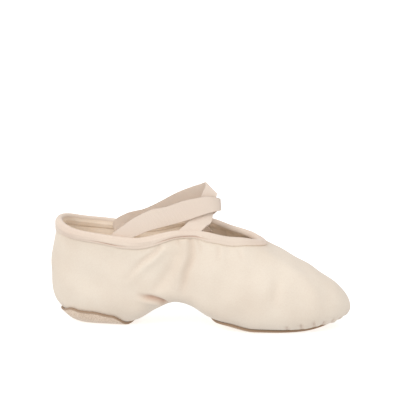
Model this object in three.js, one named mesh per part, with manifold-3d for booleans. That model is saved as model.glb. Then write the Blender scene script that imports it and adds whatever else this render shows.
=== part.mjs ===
// Soft ballet slipper with a split sole, right shoe, standing empty.
// Millimetres. +X runs to the toe, +Y to the inner side of the foot, +Z up.
// The origin is on the floor, under the middle of the heel's flat spot.
import * as THREE from 'three';
import { mergeVertices } from 'three/addons/utils/BufferGeometryUtils.js';
import Module from 'manifold-3d';

const wasm = await Module();
wasm.setup();

// Driving sizes
const LENGTH = 231;            // heel to toe, over the upper
const WALL = 1.8;              // canvas and lining together
const GAP = 0.3;               // clearance between pieces that touch
const SOLE = 1.8;              // thickness of a suede patch
const INSOLE = 1.5;            // thickness of an insole pad
const TAPE = 1.2;              // thickness of one leaf of the collar binding
const TAPE_OUTSIDE = 7;        // height of the binding on the outside
const TAPE_INSIDE = 6;         // height of the binding on the inside
const ELASTIC = 1.3;           // thickness of a strap
const FLOOR_LIFT = SOLE + GAP; // height of the upper over the floor where the soles lie flat
const HEEL_REST = 45;          // middle of the heel's flat spot, from the back of the heel
const COLLAR_BACK = 6.5;       // back of the collar, from the back of the heel
const COLLAR_FRONT = 161;      // front of the collar, at the throat
const SPINE_BACK = 34;         // ends of the line under the shoe where both halves meet
const SPINE_FRONT = 203;
const ROLL = 16;               // reach of the round edge from the outline in to the underside
const ANGLES = 72;             // facets around the shoe
const TUCK = 9;                // length of a strap's end behind the binding
const TUCK_GAP = 0.8;          // clearance between a strap's end and the binding
const STRAP_STEPS = 44;        // facets along a strap
const PATCH_STEPS = 28;        // facets round a patch's end
const PATCH_END_STEPS = 12;    // facets across its straight end
const HALVINGS = 26;           // steps of a search
const TINY = 1e-3;             // small step of a slope or a normal
const INNER_RIM_LIFT = 1.5;    // the inner side of the collar stands this much higher
const CUT_LOW = -5;            // foot of the upright cuts that bound patches and openings
const CUT_HIGH = 40;           // top of the cut that bounds a patch
const OPENING_TOP = 14;        // top of the cut that opens the upper, over the underside's round edge
const CURVE_TENSION = 0.5;     // of the straps' edge curves

// Rings of facets down the wall, and from the outline to the middle of the underside.
const WALL_LEVELS = [0, 0.07, 0.16, 0.28, 0.42, 0.58, 0.74, 0.88];
const UNDER_LEVELS = [1, 1.2, 1.4, 1.6, 1.8, 2, 2.5, 3];
// The binding's section: shares down its outer leaf, turns of its round fold and shares down its inner leaf.
const OUTER_LEAF = [1, 0.5, 0];
const FOLD_TURNS = [1 / 3, 2 / 3];
const INNER_LEAF = [0, 1];

// A table is a list of rows with named columns, in order of x.
const table = (names, rows) => rows.map((row) => Object.fromEntries(names.map((name, i) => [name, row[i]])));

// The outline seen from above: outer and inner are envelopes that the round ends bring to nothing at
// heel and toe, belly is the height of the greatest breadth, middle the sideways place of the axis.
const OUTLINE = table(['x', 'outer', 'inner', 'belly', 'middle'], [
  [0, 42, 42, 35, 0],
  [30, 34.5, 33.5, 31.5, 0],
  [60, 31, 29.5, 30, 0],
  [95, 30.5, 27.5, 33, -0.5],
  [125, 34, 30.5, 28, 0],
  [155, 39.5, 37.5, 21, 1],
  [185, 44.5, 43.5, 17, 2.5],
  [210, 48, 46.5, 15.5, 4],
  [231, 48, 48, 15, 5],
]);

// The underside of the canvas along the shoe: heel spring, flat heel, arch, flat ball, toe spring.
const UNDERSIDE = table(['x', 'z'], [
  [0, 14],
  [10, 10.5],
  [20, 4],
  [32, FLOOR_LIFT],
  [58, FLOOR_LIFT],
  [70, 5],
  [85, 14.5],
  [100, 20.5],
  [112, 18],
  [125, 10.5],
  [142, 5.5],
  [160, FLOOR_LIFT],
  [188, FLOOR_LIFT],
  [200, 2.6],
  [215, 5.2],
  [231, 10.5],
]);

// The collar: half breadth envelopes and height of its edge.
const COLLAR = table(['x', 'outer', 'inner', 'z'], [
  [6, 50, 42, 80],
  [20, 40, 37, 75],
  [40, 31.5, 32, 71.8],
  [70, 28, 27.7, 69.5],
  [105, 26, 25, 76],
  [122, 25.7, 25, 75.3],
  [138, 25.3, 24.8, 71.1],
  [152, 24, 24, 68.6],
  [163, 24, 24, 65],
]);

// How the wall leaves the collar and meets the outline, as shares of the way out and of the drop:
// at the sides it hangs down, over the toes it lies down as the vamp.
const SIDE_WALL = { out: 0.5, fall: 0.3, rise: 0.45 };
const VAMP_WALL = { out: 0.47, fall: 0.3, rise: 0.35 };
// The round edge below the outline: its most reach as a share of the way in, how far it falls upright and
// how far it runs flat.
const ROUND_EDGE = { most: 0.6, fall: 0.55, flat: 0.62 };
// The side wall turns into the vamp from this angle to the toe.
const VAMP_FROM = THREE.MathUtils.degToRad(95);
// The collar's points lean forward of the outline's by these shares of a turn.
const COLLAR_SHIFT = THREE.MathUtils.degToRad(13);
const COLLAR_SWING = THREE.MathUtils.degToRad(5.6);

// The suede patches: how far each edge lies inside the outline, where the sides end and how far the
// round end under the arch reaches past that.
const PATCHES = {
  heel: {
    until: 50,
    bulge: 15,
    inset: table(['x', 'inset'], [
      [0, 9],
      [6, 6.3],
      [19, 3.1],
      [33, 3.1],
      [50, 4.8],
    ]),
  },
  forefoot: {
    until: 142,
    bulge: 19,
    inset: table(['x', 'inset'], [
      [142, 8],
      [165, 8.6],
      [185, 11],
      [200, 13],
      [231, 13],
    ]),
  },
};
const OPENING_INSET = 6;       // the opening of the upper stands this far inside the patch
const INSOLE_INSET = 2.5;      // and the insole pad stands this far inside it

// The straps, from the rear of the collar up over the instep and down to its front on the other side.
// The upper edge is ux, uy, uz and the lower edge lx, ly, lz. The ends are tucked behind the binding
// at these places along the collar: side -1 is the outer side of the foot, 1 the inner side.
const OVER = {
  rear: { side: -1, upper: 49, lower: 67 },
  front: { side: 1, upper: 101, lower: 120 },
  rows: table(['ux', 'uy', 'uz', 'lx', 'ly', 'lz'], [
    [60.5, -21, 80.5, 72.5, -21, 72],
    [69, -19.5, 86.5, 78, -20, 74.5],
    [81, -17, 92, 85, -18.5, 76.5],
    [91.5, -14.5, 94, 95, -16, 79],
    [104, -11, 98, 108, -12.5, 82.5],
    [114.5, -7.5, 100, 119, -9, 86],
    [122.5, -5.6, 101, 126.5, -6.5, 88],
    [128.5, -3.4, 99.3, 130.8, -3.8, 88.4],
    [131, 0, 98, 131.8, 0, 88.2],
    [128.5, 3.6, 98, 130.6, 4, 87.8],
    [122.5, 7.8, 97, 129, 8.5, 86],
    [115.5, 11.8, 93, 126.5, 12, 83.5],
    [109, 15, 88.5, 124, 15, 81],
  ]),
};
const UNDER = {
  rear: { side: 1, upper: 44, lower: 62 },
  front: { side: -1, upper: 101, lower: 120 },
  rows: table(['ux', 'uy', 'uz', 'lx', 'ly', 'lz'], [
    [55, 22.3, 80.2, 70, 21.3, 72.5],
    [69.8, 19, 85.1, 76.6, 19.6, 72.5],
    [82.9, 15.5, 92, 89.5, 16.8, 78],
    [95.1, 12, 99.3, 102, 13.2, 85.2],
    [107.2, 8.5, 105, 114, 9.2, 91],
    [115.5, 4.8, 108.4, 123, 5, 95.8],
    [119.3, 1.8, 110.2, 128, 2.2, 99.8],
    [119.8, -0.6, 108.5, 129.2, -0.2, 100.3],
    [118, -2.6, 103.5, 128, -1.6, 94],
    [115.5, -4, 97, 127, -2.6, 88],
    [113, -5, 91, 126.5, -6, 82.5],
    [110.8, -7.3, 85, 125.5, -10.2, 80],
    [106.8, -12.4, 80.3, 122.5, -14.5, 78.5],
  ]),
};

/** Slope of a table's column at a row: the mean of its two sides, and level at a turning point or a flat. */
function slopeAt(rows, name, i) {
  const last = rows.length - 1;
  const step = (k) => (rows[k + 1][name] - rows[k][name]) / (rows[k + 1].x - rows[k].x);
  if (i === 0) return step(0);
  if (i === last) return step(last - 1);
  const before = step(i - 1);
  const after = step(i);
  if (before * after <= 0) return 0;
  const back = rows[i].x - rows[i - 1].x;
  const ahead = rows[i + 1].x - rows[i].x;
  return (back * after + ahead * before) / (back + ahead);
}

/** Value of a table's column at x, on a smooth curve through its rows. */
function along(rows, name, x) {
  let i = 0;
  while (i < rows.length - 2 && x > rows[i + 1].x) i += 1;
  const width = rows[i + 1].x - rows[i].x;
  const t = THREE.MathUtils.clamp((x - rows[i].x) / width, 0, 1);
  const start = slopeAt(rows, name, i) * width;
  const end = slopeAt(rows, name, i + 1) * width;
  return (2 * t ** 3 - 3 * t ** 2 + 1) * rows[i][name] + (t ** 3 - 2 * t ** 2 + t) * start
    + (3 * t ** 2 - 2 * t ** 3) * rows[i + 1][name] + (t ** 3 - t ** 2) * end;
}

const underside = (x) => along(UNDERSIDE, 'z', x);

/** The outline of greatest breadth: angle 0 is the heel, half a turn the toe, above 0 the inner side. */
function outlineAt(angle) {
  const turn = Math.abs(angle);
  const side = Math.sign(angle);
  const x = (LENGTH / 2) * (1 - Math.cos(turn));
  const breadth = along(OUTLINE, side < 0 ? 'outer' : 'inner', x);
  const y = along(OUTLINE, 'middle', x) + side * breadth * Math.sin(turn);
  return new THREE.Vector3(x, y, along(OUTLINE, 'belly', x));
}

/** The edge of the collar at the same angle. */
function collarAt(angle) {
  const turn = Math.abs(angle);
  const side = Math.sign(angle);
  const swing = turn + COLLAR_SHIFT * Math.sin(turn) - COLLAR_SWING * Math.sin(2 * turn);
  const x = (COLLAR_BACK + COLLAR_FRONT) / 2 - ((COLLAR_FRONT - COLLAR_BACK) / 2) * Math.cos(swing);
  const breadth = along(COLLAR, side < 0 ? 'outer' : 'inner', x);
  const lift = side > 0 ? INNER_RIM_LIFT * Math.sin(swing) : 0;
  const y = along(OUTLINE, 'middle', x) + side * breadth * Math.sin(swing);
  return new THREE.Vector3(x, y, along(COLLAR, 'z', x) + lift);
}

/** Largest value from 0 to a limit that still passes a test, by halving. */
function lastBelow(limit, passes) {
  let low = 0;
  let high = limit;
  for (let i = 0; i < HALVINGS; i += 1) {
    const middle = (low + high) / 2;
    if (passes(middle)) low = middle;
    else high = middle;
  }
  return low;
}

/** Point of a cubic curve with four control points. */
function cubic(a, b, c, d, t) {
  const s = 1 - t;
  return new THREE.Vector3()
    .addScaledVector(a, s ** 3)
    .addScaledVector(b, 3 * s ** 2 * t)
    .addScaledVector(c, 3 * s * t ** 2)
    .addScaledVector(d, t ** 3);
}

/**
 * Outer face of the canvas. The level runs from 0 at the collar to 1 at the outline, 2 at the end of
 * the round edge and 3 at the line under the middle of the shoe.
 */
function facePoint(angle, level) {
  const edge = outlineAt(angle);
  if (level <= 1) {
    const rim = collarAt(angle);
    const drop = rim.z - edge.z;
    const share = THREE.MathUtils.smoothstep(Math.abs(angle), VAMP_FROM, Math.PI);
    const mix = (name) => THREE.MathUtils.lerp(SIDE_WALL[name], VAMP_WALL[name], share);
    const leave = rim.clone().lerp(new THREE.Vector3(edge.x, edge.y, rim.z), mix('out'));
    leave.z -= drop * mix('fall');
    const meet = edge.clone();
    meet.z += drop * mix('rise');
    return cubic(rim, leave, meet, edge, level);
  }
  const spineX = THREE.MathUtils.clamp(edge.x, SPINE_BACK, SPINE_FRONT);
  const spine = new THREE.Vector3(spineX, along(OUTLINE, 'middle', spineX), 0);
  const inward = new THREE.Vector3(spine.x - edge.x, spine.y - edge.y, 0);
  const reach = Math.min(ROLL, inward.length() * ROUND_EDGE.most);
  inward.normalize();
  const foot = new THREE.Vector3(edge.x, edge.y, 0).addScaledVector(inward, reach);
  foot.z = underside(foot.x);
  if (level >= 2) {
    const point = foot.clone().lerp(spine, level - 2);
    point.z = underside(point.x);
    return point;
  }
  const fall = underside(foot.x + inward.x) - foot.z;
  const leave = edge.clone();
  leave.z -= (edge.z - foot.z) * ROUND_EDGE.fall;
  const meet = foot.clone().addScaledVector(inward, -reach * ROUND_EDGE.flat);
  meet.z = foot.z - fall * reach * ROUND_EDGE.flat;
  return cubic(edge, leave, meet, foot, level - 1);
}

/** Outward normal of the canvas. Under the shoe it follows the underside's slope alone. */
function faceNormal(angle, level) {
  if (level >= 2) {
    const { x } = facePoint(angle, level);
    return new THREE.Vector3((underside(x + TINY) - underside(x - TINY)) / (2 * TINY), 0, -1).normalize();
  }
  const around = facePoint(angle + TINY, level).sub(facePoint(angle - TINY, level));
  const down = facePoint(angle, Math.min(level + TINY, 2)).sub(facePoint(angle, Math.max(level - TINY, 0)));
  return around.cross(down).normalize();
}

/** Point at a depth from the canvas: above 0 is outside it. */
function atDepth(angle, level, depth) {
  return facePoint(angle, level).addScaledVector(faceNormal(angle, level), depth);
}

/** Unit vector up the wall at the collar. */
function wallUp(angle) {
  return facePoint(angle, 0).sub(facePoint(angle, TINY)).normalize();
}

/** Point beside the wall near the collar: drop is measured down the wall from its edge, negative above it. */
function nearCollar(angle, drop, depth) {
  if (drop <= 0) {
    return atDepth(angle, 0, depth).addScaledVector(wallUp(angle), -drop);
  }
  const rim = facePoint(angle, 0);
  const level = lastBelow(1, (value) => facePoint(angle, value).distanceTo(rim) < drop);
  return atDepth(angle, level, depth);
}

/** Closed solid from a grid of points whose columns close on themselves, with flat ends where asked. */
function solidFromGrid(rows, closeRows) {
  const count = rows[0].length;
  const positions = [];
  const corner = (i, j) => positions.push(...rows[i][j % count].toArray());
  const last = closeRows ? rows.length : rows.length - 1;
  for (let i = 0; i < last; i += 1) {
    const next = (i + 1) % rows.length;
    for (let j = 0; j < count; j += 1) {
      corner(i, j);
      corner(next, j);
      corner(next, j + 1);
      corner(i, j);
      corner(next, j + 1);
      corner(i, j + 1);
    }
  }
  if (!closeRows) {
    for (let j = 1; j < count - 1; j += 1) {
      corner(0, 0);
      corner(0, j);
      corner(0, j + 1);
      corner(rows.length - 1, 0);
      corner(rows.length - 1, j + 1);
      corner(rows.length - 1, j);
    }
  }
  const geometry = new THREE.BufferGeometry();
  geometry.setAttribute('position', new THREE.Float32BufferAttribute(positions, 3));
  return solidFrom(geometry);
}

/** Solid of a three.js geometry. Facets that shrink to a line are dropped. */
function solidFrom(geometry) {
  const loose = geometry.index ? geometry.toNonIndexed() : geometry;
  loose.deleteAttribute('normal');
  loose.deleteAttribute('uv');
  const merged = mergeVertices(loose, 1e-4);
  const index = merged.index.array;
  const kept = [];
  for (let i = 0; i < index.length; i += 3) {
    const [a, b, c] = [index[i], index[i + 1], index[i + 2]];
    if (a !== b && b !== c && c !== a) kept.push(a, b, c);
  }
  const mesh = new wasm.Mesh({
    numProp: 3,
    vertProperties: new Float32Array(merged.attributes.position.array),
    triVerts: new Uint32Array(kept),
  });
  return new wasm.Manifold(mesh);
}

/** Named mesh of a solid. */
function meshOf(name, solid, look) {
  const { vertProperties, triVerts } = solid.getMesh();
  const geometry = new THREE.BufferGeometry();
  geometry.setAttribute('position', new THREE.BufferAttribute(new Float32Array(vertProperties), 3));
  geometry.setIndex(new THREE.BufferAttribute(new Uint32Array(triVerts), 1));
  geometry.computeVertexNormals();
  const mesh = new THREE.Mesh(geometry, new THREE.MeshStandardMaterial(look));
  mesh.name = name;
  return mesh;
}

const angleList = Array.from({ length: ANGLES }, (_, i) => ((i / ANGLES) * 2 - 1) * Math.PI);

/** Closed bowl between two depths over a list of levels: its two faces and the edge that joins them. */
function bowl(outside, inside, levels) {
  const face = (depth) => levels.map((level) => angleList.map((angle) => atDepth(angle, level, depth)));
  return solidFromGrid([...face(inside), ...face(outside).reverse()], true);
}

/** Plan outline of a patch: the shoe's outline moved inward round the end, closed by a half ellipse. */
function patchOutline(patch, inset) {
  const isHeel = patch === PATCHES.heel;
  const reach = Math.acos(1 - (2 * patch.until) / LENGTH);
  const points = [];
  for (let i = 0; i <= PATCH_STEPS; i += 1) {
    const share = (i / PATCH_STEPS) * 2 - 1;
    const angle = isHeel ? share * reach : Math.PI + share * (Math.PI - reach);
    const wrapped = angle > Math.PI ? angle - 2 * Math.PI : angle;
    const tangent = outlineAt(wrapped + TINY).sub(outlineAt(wrapped - TINY));
    const inward = new THREE.Vector2(tangent.y, -tangent.x).normalize();
    const edge = outlineAt(wrapped);
    const width = along(patch.inset, 'inset', edge.x) + inset;
    points.push(new THREE.Vector2(edge.x, edge.y).addScaledVector(inward, width));
  }
  const first = points[0];
  const final = points[points.length - 1];
  const centre = first.clone().add(final).multiplyScalar(0.5);
  const half = final.clone().sub(first).multiplyScalar(0.5);
  const forward = isHeel ? 1 : -1;
  for (let i = 1; i < PATCH_END_STEPS; i += 1) {
    const turn = (i / PATCH_END_STEPS) * Math.PI;
    points.push(centre.clone()
      .addScaledVector(half, Math.cos(turn))
      .add(new THREE.Vector2(forward * (patch.bulge - inset / 2) * Math.sin(turn), 0)));
  }
  return points;
}

/** Upright prism over a plan outline. */
function prism(points, bottom, top) {
  const shape = new THREE.Shape(points);
  const geometry = new THREE.ExtrudeGeometry(shape, { depth: top - bottom, bevelEnabled: false });
  geometry.translate(0, 0, bottom);
  return solidFrom(geometry);
}

const canvas = { color: '#ecdccb', roughness: 0.9, metalness: 0 };
const suede = { color: '#c4b7a4', roughness: 0.95, metalness: 0 };
const lining = { color: '#e6d6bd', roughness: 0.9, metalness: 0 };
const elastic = { color: '#e6d5c5', roughness: 0.8, metalness: 0 };

/** The canvas upper: one wall, open at the collar and under heel and ball. */
function upper() {
  let solid = bowl(0, -WALL, [...WALL_LEVELS, ...UNDER_LEVELS]);
  for (const patch of Object.values(PATCHES)) {
    solid = solid.subtract(prism(patchOutline(patch, OPENING_INSET), CUT_LOW, OPENING_TOP));
  }
  return meshOf('upper', solid, canvas);
}

/** The tape folded over the collar's edge: a leaf outside, a leaf inside and the round fold on top. */
function collarBinding() {
  const outer = GAP + TAPE;
  const inner = -WALL - GAP - TAPE;
  const middle = (outer + inner) / 2;
  const half = (outer - inner) / 2;
  const section = [];
  for (const share of OUTER_LEAF) section.push([TAPE_OUTSIDE * share, outer]);
  for (const turn of FOLD_TURNS) {
    section.push([-half * Math.sin(turn * Math.PI), middle + half * Math.cos(turn * Math.PI)]);
  }
  for (const share of INNER_LEAF) section.push([TAPE_INSIDE * share, inner]);
  section.push([TAPE_INSIDE, -WALL - GAP], [-GAP, -WALL - GAP], [-GAP, GAP]);
  for (const share of [...OUTER_LEAF].reverse().slice(1)) section.push([TAPE_OUTSIDE * share, GAP]);
  const rows = section.map(([drop, depth]) => angleList.map((angle) => nearCollar(angle, drop, depth)));
  return meshOf('collar_binding', solidFromGrid(rows, true), canvas);
}

/** A suede patch outside the canvas. */
function solePatch(name, patch) {
  const blank = bowl(GAP + SOLE, GAP, UNDER_LEVELS);
  return meshOf(name, blank.intersect(prism(patchOutline(patch, 0), CUT_LOW, CUT_HIGH)), suede);
}

/** A lining pad on the inside of the canvas, over a patch. */
function insolePad(name, patch) {
  const blank = bowl(-WALL - GAP, -WALL - GAP - INSOLE, UNDER_LEVELS);
  return meshOf(name, blank.intersect(prism(patchOutline(patch, INSOLE_INSET), CUT_LOW, CUT_HIGH)), lining);
}

/** Angle at which the collar reaches x, on the side given by its sign. */
function collarAngle(x, side) {
  return side * lastBelow(Math.PI, (angle) => collarAt(angle).x < x);
}

/** A strap: a band between two edge curves, its ends tucked behind the binding. */
function strap(name, layout) {
  const depth = -(WALL + GAP + TAPE + TUCK_GAP + ELASTIC / 2);
  const tuck = (end, edge, drop) => nearCollar(collarAngle(end[edge], end.side), drop, depth);
  const edgeCurve = (edge, key) => new THREE.CatmullRomCurve3([
    tuck(layout.rear, edge, TUCK),
    tuck(layout.rear, edge, 0),
    ...layout.rows.map((row) => new THREE.Vector3(row[`${key}x`], row[`${key}y`], row[`${key}z`])),
    tuck(layout.front, edge, 0),
    tuck(layout.front, edge, TUCK),
  ], false, 'catmullrom', CURVE_TENSION);
  const top = edgeCurve('upper', 'u');
  const bottom = edgeCurve('lower', 'l');
  const rows = [];
  for (let i = 0; i <= STRAP_STEPS; i += 1) {
    const t = i / STRAP_STEPS;
    const across = bottom.getPoint(t).sub(top.getPoint(t));
    const ahead = Math.min(t + TINY, 1);
    const behind = Math.max(t - TINY, 0);
    const forward = top.getPoint(ahead).add(bottom.getPoint(ahead))
      .sub(top.getPoint(behind)).sub(bottom.getPoint(behind));
    const out = forward.cross(across).normalize().multiplyScalar(ELASTIC / 2);
    const at = (share, sign) => top.getPoint(t).addScaledVector(across, share).addScaledVector(out, sign);
    rows.push([at(0, 1), at(0.5, 1), at(1, 1), at(1, -1), at(0.5, -1), at(0, -1)]);
  }
  return meshOf(name, solidFromGrid(rows, false), elastic);
}

const slipper = new THREE.Group();
slipper.add(
  upper(),
  collarBinding(),
  strap('elastic_strap_over', OVER),
  strap('elastic_strap_under', UNDER),
  solePatch('heel_sole', PATCHES.heel),
  solePatch('forefoot_sole', PATCHES.forefoot),
  insolePad('heel_insole', PATCHES.heel),
  insolePad('forefoot_insole', PATCHES.forefoot),
);
slipper.position.x = -HEEL_REST;

export default slipper;
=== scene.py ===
"""Soft split-sole ballet slipper for the right foot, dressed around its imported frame.

All sizes are millimetres until a mesh is made. x runs from the back of the heel to the toe, y to the
inner side of the foot and z up from the floor. Every piece is laid on one surface, the outer face of
the canvas, which is a function of an angle round the shoe and a level down its wall.
"""

import logging
import math
from dataclasses import dataclass, field
from enum import Enum

import bmesh
import bpy
import numpy as np
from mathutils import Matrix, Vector


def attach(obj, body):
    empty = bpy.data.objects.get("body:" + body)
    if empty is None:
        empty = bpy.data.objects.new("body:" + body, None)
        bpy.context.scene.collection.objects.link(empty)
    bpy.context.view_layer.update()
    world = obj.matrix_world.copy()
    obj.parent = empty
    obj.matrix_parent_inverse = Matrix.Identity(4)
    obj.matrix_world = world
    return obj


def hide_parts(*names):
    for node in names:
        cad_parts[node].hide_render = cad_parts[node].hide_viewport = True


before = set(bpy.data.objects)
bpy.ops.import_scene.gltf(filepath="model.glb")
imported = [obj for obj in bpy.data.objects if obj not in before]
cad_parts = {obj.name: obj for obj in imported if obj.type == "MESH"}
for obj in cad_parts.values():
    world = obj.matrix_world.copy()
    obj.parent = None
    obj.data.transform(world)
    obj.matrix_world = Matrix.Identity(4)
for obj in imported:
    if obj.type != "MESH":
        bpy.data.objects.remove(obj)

LOG = logging.getLogger("slipper")
MM = 0.001
HEEL_REST = 45.0  # the origin lies this far ahead of the heel's back, under the heel's flat spot
WALL = 1.8  # canvas and lining together
GAP = 0.3  # clearance between pieces that touch
LEAF = 1.2  # one leaf of the binding's tape
SOLE = 1.8  # a sole patch
INSOLE = 1.5  # an insole pad
TINY = 1e-3  # small step of a slope or a normal
Array = np.ndarray


class Side(Enum):
    """The two sides of the foot, as the sign of the angle and of y."""

    OUTER = -1
    INNER = 1


def smooth(value: Array) -> Array:
    """Smooth step of a share: 3 times its square less 2 times its cube, held between 0 and 1."""
    share = np.clip(value, 0.0, 1.0)
    return share * share * (3.0 - 2.0 * share)


def length_of(vectors: Array) -> Array:
    """Length of each vector in the last axis."""
    return np.sqrt((vectors * vectors).sum(-1))


def unit(vectors: Array) -> Array:
    """Each vector of the last axis brought to length 1."""
    return vectors / np.maximum(length_of(vectors), 1e-9)[..., None]


def hermite(start: Array, end: Array, leave: Array, meet: Array, t: Array) -> Array:
    """Cubic from start to end over the shares t, with the slopes leave and meet there."""
    return ((2 * t**3 - 3 * t**2 + 1) * start + (t**3 - 2 * t**2 + t) * leave
            + (3 * t**2 - 2 * t**3) * end + (t**3 - t**2) * meet)


def cubic(a: Array, b: Array, c: Array, d: Array, t: Array) -> Array:
    """Points of cubic curves with four control points each, at the shares t."""
    t = t[..., None]
    s = 1.0 - t
    return a * s**3 + b * 3 * s**2 * t + c * 3 * s * t**2 + d * t**3


def through(values: Array, steps: Array) -> Array:
    """Smooth curve through values at the whole numbers, read at steps, with Catmull-Rom slopes."""
    padded = np.concatenate([[2 * values[0] - values[1]], values, [2 * values[-1] - values[-2]]])
    i = np.clip(steps.astype(int), 0, len(values) - 2)
    before, start, end, after = (padded[i + k] for k in range(4))
    return hermite(start, end, (end - before) / 2, (after - start) / 2, steps - i)


class Table:
    """Rows of named columns in order of x, read on a smooth curve through them."""

    def __init__(self, names: tuple[str, ...], rows: list[tuple[float, ...]]) -> None:
        """Keep the rows as one array with a column for each name."""
        self.names = names
        self.rows = np.array(rows, float)

    def at(self, name: str, x: Array) -> Array:
        """Value of a column at x.

        The slope at a row is the mean of the slopes on its two sides, each weighted by the other
        side's width, and 0 at a turning point. Between rows the curve is the cubic with those slopes.

        Args:
            name: the column.
            x: places to read.

        Returns:
            The column's values there.
        """
        at = self.rows[:, 0]
        value = self.rows[:, self.names.index(name)]
        width = np.diff(at)
        step = np.diff(value) / width
        slope = np.append(step[:1], step)
        inner = (width[:-1] * step[1:] + width[1:] * step[:-1]) / (width[:-1] + width[1:])
        slope[1:-1] = np.where(step[:-1] * step[1:] > 0, inner, 0.0)
        i = np.clip(np.searchsorted(at, x) - 1, 0, len(at) - 2)
        t = np.clip((x - at[i]) / width[i], 0.0, 1.0)
        return hermite(value[i], value[i + 1], slope[i] * width[i], slope[i + 1] * width[i], t)


@dataclass(frozen=True)
class Last:
    """The outer face of the canvas before it creases.

    The angle is 0 at the heel, half a turn at the toe and above 0 on the inner side. The level runs
    from 0 at the collar to 1 at the outline of greatest breadth, 2 at the end of the round edge and 3
    at the spine, the line under the middle of the shoe.

    Attributes:
        length: of the shoe.
        collar_back, collar_front: x of the collar's ends.
        collar_shift, collar_swing: how far its points lean forward, by the sine of the turn and of twice it.
        inner_rim_lift: rise of the inner side's collar.
        spine_back, spine_front: x of the spine's ends.
        roll, roll_most: how far in the round edge reaches, and its greatest share of the way to the spine.
        roll_down, roll_in: shares of its drop and reach up to its two inner control points.
        vamp_from: turn where the wall begins to change into the vamp.
        leave_out: share of the way out of the wall's first control point, at the sides and the toe.
        leave_down: share of the drop down to it.
        meet_up: share of the drop from its second one to the outline, at the sides and the toe.
        outline: outer and inner breadth, height of the greatest breadth, and middle, by x.
        underside: height of the underside, by x.
        collar: outer and inner breadth and height of the collar's edge, by x.
    """

    length: float = 231.0
    collar_back: float = 6.5
    collar_front: float = 161.0
    collar_shift: float = math.radians(13.0)
    collar_swing: float = math.radians(5.6)
    inner_rim_lift: float = 1.5
    spine_back: float = 34.0
    spine_front: float = 203.0
    roll: float = 16.0
    roll_most: float = 0.6
    roll_down: float = 0.55
    roll_in: float = 0.62
    vamp_from: float = math.radians(95.0)
    leave_out: tuple[float, float] = (0.5, 0.47)
    leave_down: float = 0.3
    meet_up: tuple[float, float] = (0.45, 0.35)
    outline: Table = field(default_factory=lambda: Table(("x", "outer", "inner", "belly", "middle"), [
        (0, 42, 42, 35, 0), (30, 34.5, 33.5, 31.5, 0), (60, 31, 29.5, 30, 0), (95, 30.5, 27.5, 33, -0.5),
        (125, 34, 30.5, 28, 0), (155, 39.5, 37.5, 21, 1), (185, 44.5, 43.5, 17, 2.5),
        (210, 48, 46.5, 15.5, 4), (231, 48, 48, 15, 5),
    ]))
    underside: Table = field(default_factory=lambda: Table(("x", "z"), [
        (0, 14), (10, 10.5), (20, 4), (32, 2.1), (58, 2.1), (70, 5), (85, 14.5), (100, 20.5), (112, 18),
        (125, 10.5), (142, 5.5), (160, 2.1), (188, 2.1), (200, 2.6), (215, 5.2), (231, 10.5),
    ]))
    collar: Table = field(default_factory=lambda: Table(("x", "outer", "inner", "z"), [
        (6, 50, 42, 80), (20, 40, 37, 75), (40, 31.5, 32, 71.8), (70, 28, 27.7, 69.5), (105, 26, 25, 76),
        (122, 25.7, 25, 75.3), (138, 25.3, 24.8, 71.1), (152, 24, 24, 68.6), (163, 24, 24, 65),
    ]))

    @staticmethod
    def beside(table: Table, side: Array, x: Array) -> Array:
        """A table's breadth at x on the side of each sign, with that sign."""
        return side * np.where(side < 0, table.at("outer", x), table.at("inner", x))

    def outline_at(self, angle: Array) -> Array:
        """Outline of greatest breadth: x goes as 1 less the cosine, y as the breadth times the sine."""
        turn = np.abs(angle)
        side = np.sign(angle)
        x = self.length / 2 * (1 - np.cos(turn))
        y = self.outline.at("middle", x) + self.beside(self.outline, side, x) * np.sin(turn)
        return np.stack([x, y, self.outline.at("belly", x)], -1)

    def collar_at(self, angle: Array) -> Array:
        """Edge of the collar: like the outline, with its points leaning forward by a part of a turn."""
        turn = np.abs(angle)
        side = np.sign(angle)
        swing = turn + self.collar_shift * np.sin(turn) - self.collar_swing * np.sin(2 * turn)
        back, front = self.collar_back, self.collar_front
        x = (back + front) / 2 - (front - back) / 2 * np.cos(swing)
        lift = np.where(side > 0, self.inner_rim_lift * np.sin(swing), 0.0)
        y = self.outline.at("middle", x) + self.beside(self.collar, side, x) * np.sin(swing)
        return np.stack([x, y, self.collar.at("z", x) + lift], -1)

    def face(self, angle: Array, level: Array) -> Array:
        """Points of the outer face.

        Down to level 1 each is on a cubic from the collar to the outline, to level 2 on a cubic round
        the edge to the underside, and to level 3 on a straight line inward at the underside's height.

        Args:
            angle: round the shoe.
            level: down the wall.

        Returns:
            Points, with x, y and z in the last axis.
        """
        angle, level = np.broadcast_arrays(np.asarray(angle, float), np.asarray(level, float))
        edge = self.outline_at(angle)
        rim = self.collar_at(angle)
        drop = rim[..., 2] - edge[..., 2]
        vamp = smooth((np.abs(angle) - self.vamp_from) / (math.pi - self.vamp_from))
        leave = rim.copy()
        out, toe_out = self.leave_out
        leave[..., :2] += (edge - rim)[..., :2] * (out + (toe_out - out) * vamp)[..., None]
        leave[..., 2] -= drop * self.leave_down
        meet = edge.copy()
        up, toe_up = self.meet_up
        meet[..., 2] += drop * (up + (toe_up - up) * vamp)
        wall = cubic(rim, leave, meet, edge, np.clip(level, 0, 1))

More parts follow.
